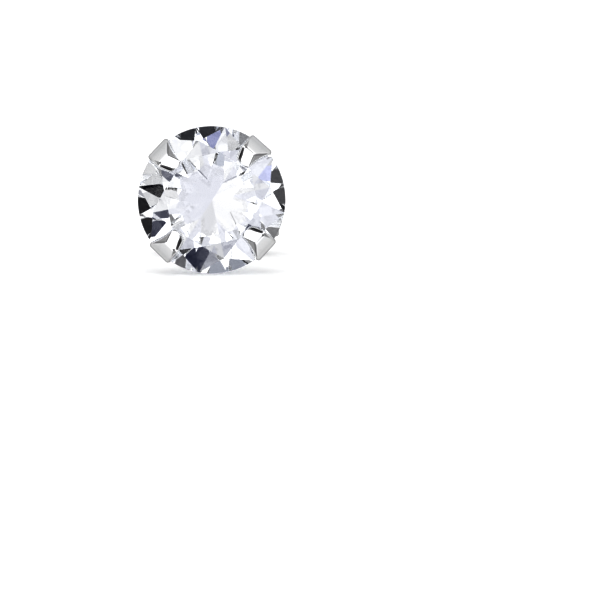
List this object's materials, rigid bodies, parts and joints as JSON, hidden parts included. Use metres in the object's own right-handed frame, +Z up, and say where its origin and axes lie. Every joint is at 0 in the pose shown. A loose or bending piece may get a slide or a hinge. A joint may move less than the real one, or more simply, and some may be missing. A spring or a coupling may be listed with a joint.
{
  "type": "stud earring",
  "caption": "Stud earring with a clear round brilliant stone in a claw setting, an ear post and a butterfly back, lying on a surface.",
  "frame": {"origin": "on the surface that the stud lies on, under the middle of its box", "axes": "+Z up, the stone faces -Y and a little up, the post runs towards +Y"},
  "size_m": [0.005, 0.014, 0.005],
  "materials": {
    "clear_stone": "polished facets",
    "polished_silver": "bright polish",
    "stamped_silver": "bright as stamped"
  },
  "bodies": {
    "root": {"stone": "clear_stone", "claw_setting": "polished_silver", "butterfly_back": "stamped_silver"}
  },
  "joints": []
}
